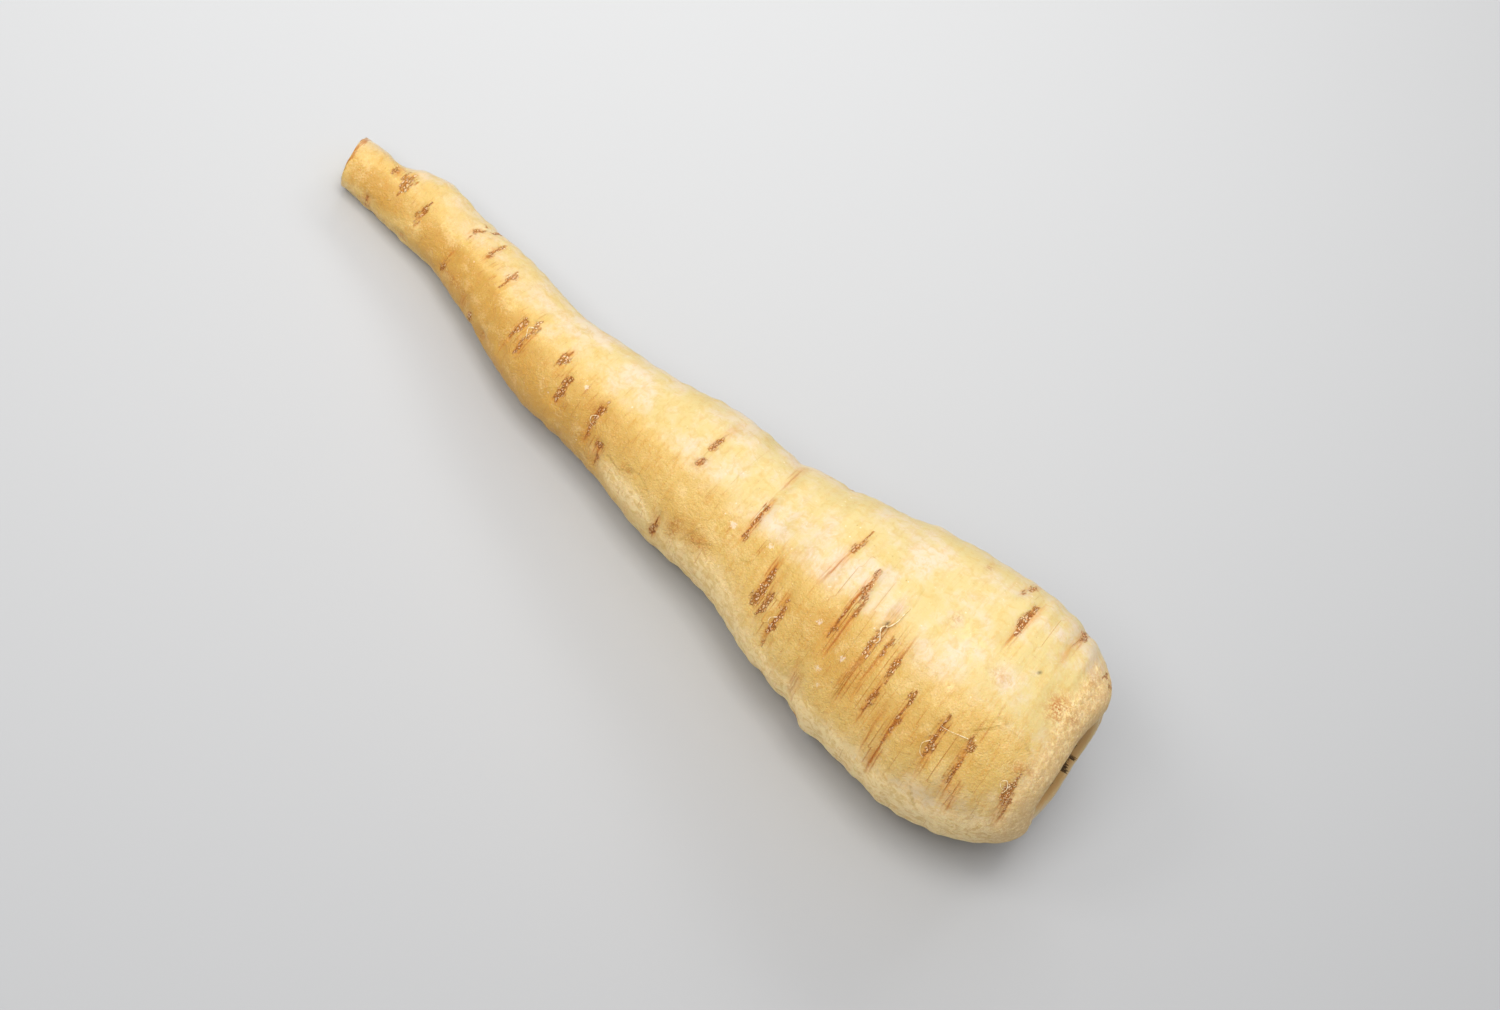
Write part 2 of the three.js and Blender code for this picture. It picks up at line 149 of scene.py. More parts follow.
# Patches of colour and painted shading: along, around, half-length along, half-turn round, and how golden,
# chalky and russet. The golden patches towards the front and underside are partly painted shade, those on
# the underside from 125 to 170 along partly a painted warm reflection, and the chalky ones along the
# underside partly painted light.
TONES_AND_SHADING = [
    [45, 92, 50, 44, 0.5, 0, 0], [110, 100, 60, 48, 0.5, 0, 0], [178, 92, 46, 60, 0.5, 0, 0],
    [178, 10, 50, 44, 0.4, 0, 0], [60, 225, 70, 60, 0.5, 0, 0], [160, 225, 70, 70, 0.5, 0, 0],
    [18, 64, 13, 20, 0.7, 0, 0], [36, 72, 12, 18, 0.5, 0, 0], [52, 66, 12, 20, 0.55, 0, 0],
    [95, 72, 12, 20, 0.5, 0, 0], [70, 66, 12, 20, 0.45, 0, 0], [127, 62, 8, 26, 0.4, 0, 0],
    [136, 86, 14, 22, 0.6, 0, 0], [155, 80, 16, 26, 0.9, 0, 0], [175, 72, 15, 28, 0.9, 0, 0],
    [203, 66, 10, 22, 0.7, 0, 0], [115, 66, 12, 22, 0.4, 0, 0],
    [2, 45, 5, 60, 0, 0.9, 0.3], [2, -10, 5, 34, 0, 0.7, 0.3], [5, 98, 8, 22, 0, 0.6, 0.2],
    [22, 104, 16, 14, 0, 0.55, 0], [52, 108, 20, 14, 0, 0.6, 0], [84, 96, 16, 22, 0, 0.7, 0],
    [50, 124, 70, 17, 0, 0.8, 0], [190, 124, 30, 22, 0.2, 0.4, 0],
    [113, 94, 11, 16, 0, 0.8, 0], [30, 22, 7, 12, 0, 0.35, 0], [190, 50, 12, 20, 0, 0.3, 0],
    [8.6, 19, 2.4, 7, 0, 0.3, 0.9], [4, 17, 1.3, 4, 0, 0, 0.7], [7.5, 55, 2.4, 3, 0, 0, 0.6],
    [38.6, -21, 0.9, 5, 0, 0, 0.6], [36, 17, 1.4, 4, 0, 0, 0.5], [22, 25, 2.4, 4, 0, 0, 0.4],
    [91.5, 78, 3.5, 8, 0.3, 0, 0.6], [97.2, 83, 1.2, 10, 0.3, 0, 0.8], [113.4, 74, 1, 3, 0, 0, 0.9],
    [172, 83, 4, 7, 0.2, 0, 0.6], [101.4, 33, 1.5, 5, 0, 0, 0.7], [5.5, -10, 1, 4, 0, 0, 0.6],
    [201, 13, 0.8, 6, 0, 0, 0.8], [127.6, 52, 0.7, 18, 0, 0, 0.5], [134.4, 74, 1, 7, 0, 0, 0.4],
    [28, 43, 2, 4, 0, 0.5, 0.2],
    [55, 48, 75, 14, 0.45, 0, 0], [165, 46, 55, 17, 0.55, 0, 0], [205, 30, 9, 80, 0.6, 0, 0],
    [135, 114, 22, 22, 0.7, 0, 0], [160, 108, 30, 24, 0.6, 0, 0],
]
CHIPS = [  # small white scuffs: along, around, radius
    [50.8, 64, 0.7], [54, 77, 0.7], [59.2, 58, 0.6], [77, 45, 0.7], [86.8, 51, 0.9], [132.5, 43, 0.6],
    [62, 40, 0.35], [52, 84, 0.5],
]
VEINS = [  # thin olive cracks: strength, and the along and around of the points that they run through
    [0.8, [(8, 46), (10, 42.5), (13, 42), (16, 43), (17.5, 47), (19.5, 51)]],
    [0.7, [(24, 90), (22.5, 96), (21, 103)]], [0.5, [(15, 40), (16.6, 39), (18.5, 45)]],
    [0.6, [(106, 77), (108.5, 72), (111, 70), (114.5, 72)]], [0.9, [(112.6, 73), (114, 75)]],
    [0.5, [(113.5, 75), (116, 82), (120, 80)]], [0.7, [(87.8, 73), (90, 79), (91.5, 82)]],
    [0.6, [(92.3, 70), (93.4, 80), (94.6, 88)]], [0.6, [(78, 62), (80.6, 66)]],
    [0.5, [(88, 20), (88, 25)]], [0.5, [(98.6, 73), (97.4, 84), (97.2, 92)]],
    [0.4, [(33, 42), (36, 43), (38.5, 42)]], [0.4, [(46, 12), (45, 24)]],
]

# Swellings and folds that run part of the way round: along, around, half-length, half-turn, height.
FOLDS = [
    [51.5, 150, 3.2, 46, 0.9], [56.8, 138, 1.8, 44, -0.9], [46.5, 160, 2.2, 40, -0.5],
    [81, -40, 5, 60, 0.5], [87.6, -42, 1.8, 62, -0.6], [98, 20, 7, 80, 0.5],
    [119, 70, 6, 70, -0.4], [144, 120, 9, 60, 0.8], [150, -40, 9, 60, -0.4],
    [158, 200, 6, 90, 0.5], [178, 110, 6, 80, -0.3], [189, -45, 4.5, 60, 0.9],
    [199.5, -40, 3, 50, -0.8], [14, -60, 8, 50, 0.6], [33, 60, 10, 60, 0.5],
    [70, 215, 6, 70, 0.6], [93, 250, 4, 80, -0.5], [112, 190, 7, 60, 0.4],
    [134, 260, 5, 70, 0.5], [40, 250, 7, 70, 0.6], [48, 265, 3, 60, -0.6],
    [203.5, -52, 3, 42, -1.1], [196, -50, 3, 40, 0.5],
]
CUT_LEAN = 1.1  # the cut takes off more at the front of the underside than at the back
CUT_LEAN_AROUND = 135

# Fine relief, as heights in millimetres
SWELL = 0.22  # soft swellings of the skin
RIPPLE = 0.12  # wrinkles across the root
CREASE = 0.05  # finer wrinkles
LUMP = 0.03
GROOVE = 0.25  # the sharp line in the middle of a scar
BANK = 0.08  # the soft banks on either side of it
KNOT_RISE = 0.12
KNOT_LUMP = 0.25
LIP_BEAD = 0.3  # the thin dry rim of the crown
LIP_SWELL = 0.2
CUT_ROUGH = 0.12
HOLLOW_ROUGH = 0.1
LIP_END = 9  # how far along the rim and the hollow reach

# Mesh fineness
SIDES = 216
HOLLOW_ROWS = 34
SHOULDER_ROWS = 62
BODY_ROWS = 332
CUT_ROWS = 12
MM = 0.001


def smoothstep(x, low, high):
    share = np.clip((x - low) / (high - low), 0, 1)
    return share * share * (3 - 2 * share)


def smooth_line(points, x):
    """A smooth line through [x, y] points, with the slope at each point taken from its neighbours."""
    at, value = np.array(points, float).T
    last = len(at) - 1
    before = np.maximum(np.arange(last + 1) - 1, 0)
    after = np.minimum(np.arange(last + 1) + 1, last)
    slope = (value[after] - value[before]) / (at[after] - at[before])
    i = np.clip(np.searchsorted(at, x, side="right") - 1, 0, last - 1)
    width = at[i + 1] - at[i]
    t = np.clip((x - at[i]) / width, 0, 1)
    t2, t3 = t * t, t ** 3
    return (
        (2 * t3 - 3 * t2 + 1) * value[i] + (t3 - 2 * t2 + t) * width * slope[i]
        + (3 * t2 - 2 * t3) * value[i + 1] + (t3 - t2) * width * slope[i + 1]
    )


def spine(along):
    at = SPINE_STEP * np.arange(len(SPINE))
    return np.stack([smooth_line(np.stack([at, SPINE[:, axis]], 1), along) for axis in range(3)], -1)


def unit(vectors):
    return vectors / np.linalg.norm(vectors, axis=-1, keepdims=True)


def section(along):
    """The middle line's place, and the directions up and to the front from it."""
    held = np.clip(along, 1, SPINE_END - 1)
    down = unit(spine(held + 1) - spine(held - 1))
    up = unit(np.array([0, 0, 1.0]) - down * down[..., 2:])
    middle = spine(held) + down * (along - held)[..., None]
    return middle, up, np.cross(up, down)


def turn_from(around, middle):
    """How far round an angle is from another, in degrees from -180 to 180."""
    return (around - middle + 180) % 360 - 180


def way_round(around, middle, radius):
    """How far round one angle is from another, in millimetres on the skin."""
    return np.radians(turn_from(around, middle)) * radius


def soft_patch(along, around, at, middle, half_length, half_turn):
    """1 in the middle of a soft patch, and falling away to 0 on all sides."""
    off = (along - at) / half_length
    turn = turn_from(around, middle) / half_turn
    return np.exp(-off * off - turn * turn)


def fraction(value):
    return value - math.floor(value)


def hidden_scars():
    """Scars on the side turned away from the camera, spread evenly by irrational steps."""
    rows = []
    for i in range(HIDDEN_SCARS):
        along = 6 + (LENGTH - 14) * fraction(0.31 + i * 0.618034) ** 1.15
        middle = HIDDEN_FROM + (HIDDEN_TO - HIDDEN_FROM) * fraction(0.2 + i * 0.754878)
        half = 9 + 17 * fraction(i * 0.569841)
        shift = 0.8 * fraction(i * 0.381966) - 0.4
        depth = 0.4 + 0.4 * fraction(i * 0.27)
        brown = 0.5 + 0.5 * fraction(i * 0.732)
        rows.append([along - shift, middle - half, along + shift, middle + half, depth, brown])
    return rows


def hidden_knots():
    """A knot on each scar of the hidden side, at a different part of its length each time."""
    rows = []
    for i, (start, start_around, end, end_around, _, _) in enumerate(hidden_scars()):
        share = 0.3 + 0.4 * fraction(i * 0.430159)
        half_length = 1.2 + 2.6 * fraction(0.4 + i * 0.618034)
        half_width = 0.5 + 0.5 * fraction(i * 0.754878)
        rows.append([
            start + share * (end - start), start_around + share * (end_around - start_around),
            half_length, half_width, 0.6 + 0.4 * fraction(i * 0.57), fraction(i * 0.381966)])
    return rows


def scar_field(scars, along, around):
    """Depth of the furrows, distance from the nearest scar's line, and how brown that line is there."""
    depth = np.zeros_like(along)
    offset = np.full_like(along, 9.0)
    brown = np.zeros_like(along)
    for start, start_around, end, end_around, deep, colour in scars:
        half = (end_around - start_around) / 2
        turn = turn_from(around, (start_around + end_around) / 2)
        off = along - (start + end) / 2 - (end - start) / 2 * np.clip(turn / half, -1.3, 1.3)
        fade = 1 - smoothstep(np.abs(turn), half * 0.6, half * 1.3)
        depth = np.maximum(depth, deep * fade * np.exp(-((off / SCAR_HALF_WIDTH) ** 2)))
        taper = 1 - smoothstep(np.abs(turn), half * 0.45, half * 1.05)
        nearer = (taper > 0) & (np.abs(off) < np.abs(offset))
        offset = np.where(nearer, off, offset)
        brown = np.where(nearer, taper * colour, brown)
    return depth, offset, brown


def knot_field(knots, along, around, radius):
    """How far into a knot each place is, from 0 at its edge to 1, with its darkness and its flakes."""
    inside, dark, flaky = (np.zeros_like(along) for _ in range(3))
    for at, middle, half_length, half_width, darkness, flakes in knots:
        across = way_round(around, middle, radius) / (KNOT_REACH * half_length)
        taper = np.clip(1 - across * across, 0.01, 1)
        reach = np.where(np.abs(across) < 1, 1.3 - np.abs(along - at) / (half_width * taper), 0)
        nearer = reach > inside
        inside = np.where(nearer, reach, inside)
        dark = np.where(nearer, darkness, dark)
        flaky = np.where(nearer, flakes, flaky)
    return np.clip(inside, 0, 1), dark, flaky


def tone_and_shading_field(along, around):
    """How golden, chalky and russet the skin is at each place; the golden share is partly painted shade and
    the chalky share partly painted light.
    """
    tones = np.zeros(along.shape + (3,))
    for *patch, golden, chalky, russet in TONES_AND_SHADING:
        tones += soft_patch(along, around, *patch)[..., None] * [golden, chalky, russet]
    return tones


def wear_field(along, around, radius):
    """How far into a white chip each place is, and the distance and strength of the nearest vein."""
    chip = np.zeros_like(along)
    for at, middle, size in CHIPS:
        away = np.hypot(along - at, way_round(around, middle, radius)) / size
        chip = np.maximum(chip, 1.4 - away)
    distance = np.full_like(along, 9.0)
    strength = np.zeros_like(along)
    for strong, points in VEINS:
        for (start, start_around), (end, end_around) in zip(points, points[1:]):
            run = np.stack(np.broadcast_arrays(
                end - start, np.radians(end_around - start_around) * radius), -1)
            reach = np.stack([along - start, way_round(around, start_around, radius)], -1)
            share = np.clip((run * reach).sum(-1) / (run * run).sum(-1), 0, 1)
            away = np.linalg.norm(reach - share[..., None] * run, axis=-1)
            nearer = away < distance
            distance = np.where(nearer, away, distance)
            strength = np.where(nearer, strong, strength)
    return np.stack([np.clip(chip, 0, 1), distance, strength], -1)


def pit_field(along, around, radius):
    """How far into a small dark hole each place is, and how deep the hole is there in millimetres."""
    inside, depth = np.zeros_like(along), np.zeros_like(along)
    for at, middle, size, deep in PITS:
        away = np.hypot(along - at, way_round(around, middle, radius)) / size
        inside = np.maximum(inside, np.clip(1.4 - away, 0, 1))
        depth = np.maximum(depth, deep * np.exp(-away * away))
    return inside, depth


def fold_height(along, around):
    height = np.zeros_like(along)
    for *patch, high in FOLDS:
        height += high * soft_patch(along, around, *patch)
    return height


def lobe_height(along, around, radius):
    """Shallow lobes that turn slowly down the root, and soft growth rings that come and go round it."""
    angle = np.radians(around)
    lobes = (
        0.018 * np.cos(2 * angle + 0.021 * along + 0.6)
        + 0.012 * np.cos(3 * angle - 0.034 * along + 2.1) + 0.007 * np.cos(5 * angle + 0.06 * along)
    )
    wide_rings = 0.06 * np.sin(along * 0.93 + 1.3 * np.sin(angle + 0.5)) * (
        1 + np.cos(2 * angle + 0.07 * along))
    fine_rings = 0.04 * np.sin(along * 1.57 + 1.9 * np.sin(angle - 1.1) + 1) * (
        1 + np.cos(3 * angle - 0.11 * along + 2))
    return radius * lobes + wide_rings + fine_rings


def lip_rise(radius, around):
    """The lip isn't level: it stands proud on the underside, and rises and falls in soft lobes."""
    angle = np.radians(around)
    near_lip = smoothstep(radius, HOLLOW_FLOOR_RADIUS, LIP_RADIUS) * (1 - smoothstep(radius, 17, 26))
    return near_lip * (
        0.4 - np.cos(angle - 0.6) + 0.3 * np.cos(3 * angle + 0.6) + 0.3 * np.cos(5 * angle + 2))


def outline():
    """Along, radius, share of the cut's lean, and share of the section's reach, for each row of corners."""
    rows = []
    for i in range(1, HOLLOW_ROWS + 1):
        radius = LIP_RADIUS * i / HOLLOW_ROWS
        depth = HOLLOW_DEPTH * (1 - smoothstep(radius, HOLLOW_FLOOR_RADIUS, LIP_RADIUS))
        rows.append([depth, radius, 0, 1])
    for i in range(1, SHOULDER_ROWS + 1):
        turn = math.pi / 2 * i / SHOULDER_ROWS
        radius = LIP_RADIUS + (SHOULDER_RADIUS - LIP_RADIUS) * math.sin(turn)
        rows.append([SHOULDER_ALONG * (1 - math.cos(turn)), radius, 0, 1])
    for i in range(1, BODY_ROWS + 1):
        along = SHOULDER_ALONG + (LENGTH - SHOULDER_ALONG) * i / BODY_ROWS
        radius = float(smooth_line(BODY_RADIUS, along))
        rows.append([along, radius, smoothstep(along, LENGTH - 7, LENGTH), 1])
    for i in range(1, CUT_ROWS):
        rows.append([LENGTH, BODY_RADIUS[-1][1], 1, 1 - i / CUT_ROWS])
    return np.array(rows, float)


def grain(x, y, z):
    """Soft noise from -1 to 1, with features about one unit across."""
    places = np.stack(np.broadcast_arrays(x, y, z), -1)
    values = [noise.noise(place) for place in places.reshape(-1, 3).tolist()]
    return np.array(values).reshape(places.shape[:-1])


def root_surface():
    """Corners of the root in millimetres, row by row, with the fields that its skin is coloured from."""
    rows = outline()
    row_along, row_radius, row_lean, row_reach = (column[:, None] for column in rows.T)
    around = np.arange(SIDES)[None, :] * 360 / SIDES
    lean = -CUT_LEAN * np.cos(np.radians(around - CUT_LEAN_AROUND))
    along = row_along + lean * row_lean * row_reach
    radius = row_radius + 0 * around
    crown_share = 1 - smoothstep(along, 8, 20)
    raised = along - lip_rise(radius, around) * crown_share
    around = around + 0 * raised

    on_skin = np.minimum(
        smoothstep(radius, LIP_RADIUS, LIP_RADIUS + 4) + smoothstep(raised, 60, 90), 1)
    scars = SCARS + hidden_scars()
    depth, offset, brown = scar_field(scars, raised, around)
    across_y, across_z = np.cos(np.radians(around)), np.sin(np.radians(around))
    ragged = grain(raised / 1.1, radius / 2.2 * across_y, radius / 2.2 * across_z)
    inside, dark, flaky = knot_field(
        KNOTS + hidden_knots(), raised + RAGGED_EDGE * ragged, around, radius)
    in_pit, pit_depth = pit_field(raised, around, radius)
    relief = lobe_height(raised, around, radius) + fold_height(raised, around) - depth
    middle, up, front = section(raised)
    reach = ((radius + on_skin * relief) * row_reach)[..., None]
    place = middle + reach * (up * across_y[..., None] + front * across_z[..., None])

    # Fine relief stands on the surface just made: wrinkles across the root, lips beside the furrows,
    # lumpy knots, and a cut face left a little rough by the knife.
    down_rows = np.gradient(place, axis=0)
    round_rows = np.roll(place, -1, axis=1) - np.roll(place, 1, axis=1)
    outwards = unit(np.cross(round_rows, down_rows))
    x, y, z = np.moveaxis(place, -1, 0)
    swell = grain(x / 9, y / 9, z / 9)
    ripple = grain(raised / 2.2, across_y * 2.4, across_z * 2.4)
    crease = grain(raised / 0.9 + 40, across_y * 3.5, across_z * 3.5)
    lumps = grain(x / 1.3, y / 1.3, z / 1.3)
    skin_share = on_skin * (row_reach > 0.999)
    furrow = brown * np.exp(-((offset / 0.45) ** 2))
    banks = brown * np.exp(-(((np.abs(offset) - 1.2) / 0.6) ** 2))
    fine = skin_share * (
        SWELL * swell + RIPPLE * ripple + CREASE * crease + LUMP * lumps
        - GROOVE * furrow + BANK * banks + inside * (KNOT_RISE + KNOT_LUMP * lumps) - pit_depth
    )
    lip_edge = np.exp(-(((radius - LIP_RADIUS) / 0.55) ** 2)) * (raised < LIP_END)
    fine = fine + lip_edge * (LIP_BEAD + LIP_SWELL * swell)
    off_skin = (1 - on_skin) * (row_radius > 2)
    fine = fine + (1 - row_reach) * CUT_ROUGH * lumps + off_skin * HOLLOW_ROUGH * lumps
    place = place + outwards * fine[..., None]
    place[..., 2] = np.maximum(place[..., 2], 0)

    none = 0 * radius
    hollow = smoothstep(LIP_RADIUS - radius, 0, 6) * (raised < LIP_END)
    cut = (row_reach < 0.999) * (1 - row_reach) + none
    end_edge = smoothstep(raised, LENGTH - 1.3, LENGTH - 0.2)
    fields = {
        "skin_place": np.stack([raised, across_y, across_z], -1),
        "scar": np.stack([offset, brown, none], -1),
        "knot": np.stack([inside, dark, flaky], -1),
        "zone": np.stack([hollow, cut, in_pit], -1),
        "edge": np.stack([lip_edge, end_edge, none], -1),
        "tone_and_shading": tone_and_shading_field(raised, around),
        "wear": wear_field(raised, around, radius),
    }
    return place, fields


def new_piece(name, corners, faces):
    """A smooth mesh and its object, from corners in millimetres."""
    mesh = bpy.data.meshes.new(name)
    mesh.from_pydata(corners * MM, [], faces)
    mesh.shade_smooth()
    piece = bpy.data.objects.new(name, mesh)
    bpy.context.scene.collection.objects.link(piece)
    return piece, mesh


def write_field(mesh, name, values):
    """Keeps three values at each corner of a mesh, for its material to read."""
    attribute = mesh.attributes.new(name, "FLOAT_VECTOR", "POINT")
    attribute.data.foreach_set("vector", np.concatenate(values).astype(np.float32).ravel())


place, fields = root_surface()
row_count = len(place)
hollow_middle = section(np.array([float(HOLLOW_DEPTH)]))[0]
cut_middle = section(np.array([LENGTH]))[0]
corners = np.concatenate([place.reshape(-1, 3), hollow_middle, cut_middle])
side = np.arange(SIDES)
following = (side + 1) % SIDES
row_starts = SIDES * np.arange(row_count - 1)[:, None]
quads = np.stack([
    row_starts + side, row_starts + side + SIDES, row_starts + following + SIDES, row_starts + following,
], -1).reshape(-1, 4)
last_row = SIDES * (row_count - 1)
hollow_fan = np.stack([np.full(SIDES, row_count * SIDES), side, following], 1)
cut_fan = np.stack([np.full(SIDES, row_count * SIDES + 1), last_row + following, last_row + side], 1)
taproot, root_mesh = new_piece(
    "taproot_skin", corners, quads.tolist() + hollow_fan.tolist() + cut_fan.tolist())
for name, field in fields.items():
    write_field(root_mesh, name, [field.reshape(-1, 3), [field[0].mean(0), field[-1].mean(0)]])


# The root's skin is thin, waxy and a little translucent. It is cream on top and golden where it turns
# under, partly its own colour and partly painted shade, and chalky round the crown and along the underside,
# where the pale paint is partly painted light. It has marbling and fine streaks. Its scars are brown lines,
# and its knots are orange cork with dark cracks and pale flakes.
CREAM_YELLOW = "#d4be80"
CREAM_PALE = "#d9c6a8"
GOLDEN = "#dab567"
DEEP_GOLD = "#c89742"
OCHRE = "#cf9a44"
MARBLE_OLIVE = "#cda651"
# Near white: the chalky skin's colour, made paler to stand in as painted light along the underside
CHALK_AND_PAINTED_LIGHT = "#fde2a8"
CHALK_TAN = "#f3ce8e"
LIP_TAN = "#d6b27a"
RUSSET = "#d1892f"
SCAR_BROWN = "#b06214"
CORK_ORANGE = "#cf8230"
KNOT_DARK = "#7c3c0c"
PIT_DARK = "#241308"
FLAKE_PALE = "#f6dcb4"
# White for the scuffs and specks, and for the painted highlight along the crown's rim
CHIP_AND_HIGHLIGHT_WHITE = "#fdf3e6"
VEIN_OLIVE = "#b58d3c"
HOLLOW_TAN = "#c69a5c"
# The brown that the hollow darkens to towards its floor is painted shade
HOLLOW_SHADE_BROWN = "#6d4522"
CORE_PALE = "#f0dcae"
PINPRICK = "#a5702f"
WAXY = 0.42  # roughness of the bare skin
CHALKY = 0.7
CORKY = 0.85
SKIN_IOR = 1.42
GLOW = 0.25  # share of the light that passes through the skin
GLOW_REACH = 0.003  # how far red light goes in it, in metres
GLOW_COLOURS = (1.0, 0.55, 0.2)  # how far red, green and blue go, as shares of that

# Heights of the texture too fine for the mesh, in millimetres
FINE_BUMP = 0.3
CRUMB_BUMP = 0.2
STREAK_BUMP = 0.1
FLAKE_BUMP = 0.35
LINE_CUT = 0.16
VEIN_CUT = 0.1


def fill(tree, node, inputs):
    """Sets or links a node's inputs, by name or number."""
    for socket, value in inputs.items():
        if isinstance(value, bpy.types.NodeSocket):
            tree.links.new(value, node.inputs[socket])
        else:
            node.inputs[socket].default_value = value


def put(tree, kind, inputs, output=0, **settings):
    """Adds a node with its settings and inputs, and returns one of its outputs."""
    made = tree.nodes.new(kind)
    for setting, value in settings.items():
        setattr(made, setting, value)
    fill(tree, made, inputs)
    return made.outputs[output]


def add(tree, kind, inputs, output=0, **settings):
    return put(tree, "ShaderNode" + kind, inputs, output, **settings)


def new_material(name):
    made = bpy.data.materials.new(name)
    made.use_nodes = True
    return made, made.node_tree


def set_shader(material, inputs):
    """Sets or links the inputs of a material's shader."""
    fill(material.node_tree, material.node_tree.nodes["Principled BSDF"], inputs)


def place_in_mm(tree):
    in_metres = add(tree, "TexCoord", {}, output="Object")
    return add(tree, "VectorMath", {0: in_metres, "Scale": 1000.0}, operation="SCALE")

def paint(code):
    """A colour written as on a screen, as the linear values that a shader takes."""
    screen = [int(code[i:i + 2], 16) / 255 for i in (1, 3, 5)]
    return [((value + 0.055) / 1.055) ** 2.4 for value in screen] + [1]


def maths(operation, a, b=0.0):
    """One step of arithmetic on values, in the tree of the socket among them."""
    tree = (a if isinstance(a, bpy.types.NodeSocket) else b).id_data
    return add(tree, "Math", {0: a, 1: b}, operation=operation)


def plus(a, b):
    return maths("ADD", a, b)


def product(*values):
    made = values[0]
    for value in values[1:]:
        made = maths("MULTIPLY", made, value)
    return made


def fade(value, low, high):
    """0 where the value is at or before low, 1 at or past high, and smooth between, either way round."""
    return add(value.id_data, "MapRange", {0: value, 1: low, 2: high, 3: 0.0, 4: 1.0},
               interpolation_type="SMOOTHSTEP")


def layer(share, under, over):
    """One colour over another, by the share that it covers."""
    return add(share.id_data, "Mix", {0: share, 6: under, 7: over}, output=2, data_type="RGBA")


def coat(under, code, *shares):
    """A painted colour over another, by the product of the shares."""
    return layer(product(*shares), under, paint(code))


def pushed(value, *pushes):
    """A value pushed either way by each (noise, amount), by up to half its amount."""
    total = None
    for noise_value, amount in pushes:
        push = product(maths("SUBTRACT", noise_value, 0.5), amount)
        total = push if total is None else plus(total, push)
    return plus(value, total)


def stretch(place, by):
    return add(place.id_data, "VectorMath", {0: place, 1: by}, operation="MULTIPLY")


def mottle(place, size, detail=2.0, roughness=0.5, distortion=0.0):
    """Cloudy noise from 0 to 1, with clouds about that size across."""
    return add(place.id_data, "TexNoise", {
        "Vector": place, "Scale": 1 / size, "Detail": detail, "Roughness": roughness,
        "Distortion": distortion})


def parts_of(tree, attribute):
    """The three values of an attribute of the mesh."""
    vector = add(tree, "Attribute", {}, output="Vector", attribute_name=attribute)
    split = add(tree, "SeparateXYZ", {0: vector}).node
    return vector, split.outputs


def new_group(kind, name, inputs, outputs):
    """An empty node group with its sockets, given as {name: kind}, and the sockets at its two ends."""
    group = bpy.data.node_groups.new(name, kind + "NodeTree")
    for in_out, sockets in (("INPUT", inputs), ("OUTPUT", outputs)):
        for label, socket in sockets.items():
            group.interface.new_socket(name=label, in_out=in_out, socket_type="NodeSocket" + socket)
    return group, group.nodes.new("NodeGroupInput").outputs, group.nodes.new("NodeGroupOutput").inputs


speckle, entry, leave = new_group(
    "Shader", "speckle", {"Place": "Vector", "Spacing": "Float", "Dot": "Float", "Cover": "Float"},
    {"Mask": "Float"})
cell_scale = maths("DIVIDE", 1.0, entry["Spacing"])
cells = add(speckle, "TexVoronoi", {"Vector": entry["Place"], "Scale": cell_scale}, output="Distance")
lottery = add(speckle, "SeparateColor", {0: cells.node.outputs["Color"]})
in_dot = fade(cells, entry["Dot"], maths("MULTIPLY", entry["Dot"], 0.4))
drawn = maths("LESS_THAN", lottery, entry["Cover"])
speckle.links.new(product(in_dot, drawn), leave["Mask"])


def dots(place, spacing, size, cover):
    """Small round dots, one in each cell of the spacing, in a share of the cells."""
    return add(place.id_data, "Group", {
        "Place": place, "Spacing": spacing, "Dot": size, "Cover": cover}, node_tree=speckle)


skin, tree = new_material("skin")
place = place_in_mm(tree)
skin_place, (raised, _, _) = parts_of(tree, "skin_place")
_, (scar_offset, scar_brown, _) = parts_of(tree, "scar")
_, (knot_inside, knot_dark, knot_flaky) = parts_of(tree, "knot")
_, (in_hollow, on_cut, in_pit) = parts_of(tree, "zone")
_, (lip_edge, end_edge, _) = parts_of(tree, "edge")
# The golden share below is partly painted shade, and the chalky share partly painted light
_, (gold, chalk_and_light, russet) = parts_of(tree, "tone_and_shading")
_, (chip, vein_offset, vein_strength) = parts_of(tree, "wear")

broad = mottle(place, 16, 3.0)
cloudy = mottle(place, 5, 6.0, 0.62)
fine = mottle(place, 1.1, 4.0, 0.62)
crumbs = mottle(place, 0.42, 2.0, 0.6)
marbling = mottle(place, 2.4, 5.0, 0.65, 1.0)
streaks = mottle(stretch(skin_place, (0.8, 3.0, 3.0)), 1.0, 5.0, 0.62)
hairlines = mottle(stretch(skin_place, (2.4, 2.2, 2.2)), 1.0, 2.0, 0.5)

# Cream and gold, the gold partly painted shade towards the front and underside, with marbling, flecks and
# paler places
cream_share = fade(pushed(broad, (cloudy, 0.9)), 0.3, 0.66)
cream = layer(cream_share, paint(CREAM_PALE), paint(CREAM_YELLOW))
gold_edge = pushed(gold, (cloudy, 0.6), (broad, 0.5))
gold_share = fade(gold_edge, 0.05, 0.9)
golden = layer(fade(gold_edge, 0.8, 1.5), paint(GOLDEN), paint(DEEP_GOLD))
colour = layer(gold_share, cream, golden)
colour = coat(colour, MARBLE_OLIVE, fade(marbling, 0.46, 0.66), 0.4)
flecks = fade(pushed(streaks, (fine, 0.5)), 0.48, 0.7)
colour = coat(colour, OCHRE, flecks, plus(product(gold_share, 0.4), 0.2))
paler = fade(pushed(cloudy, (crumbs, 0.6)), 0.48, 0.3)
colour = coat(colour, CHALK_AND_PAINTED_LIGHT, paler, gold_share, 0.25)

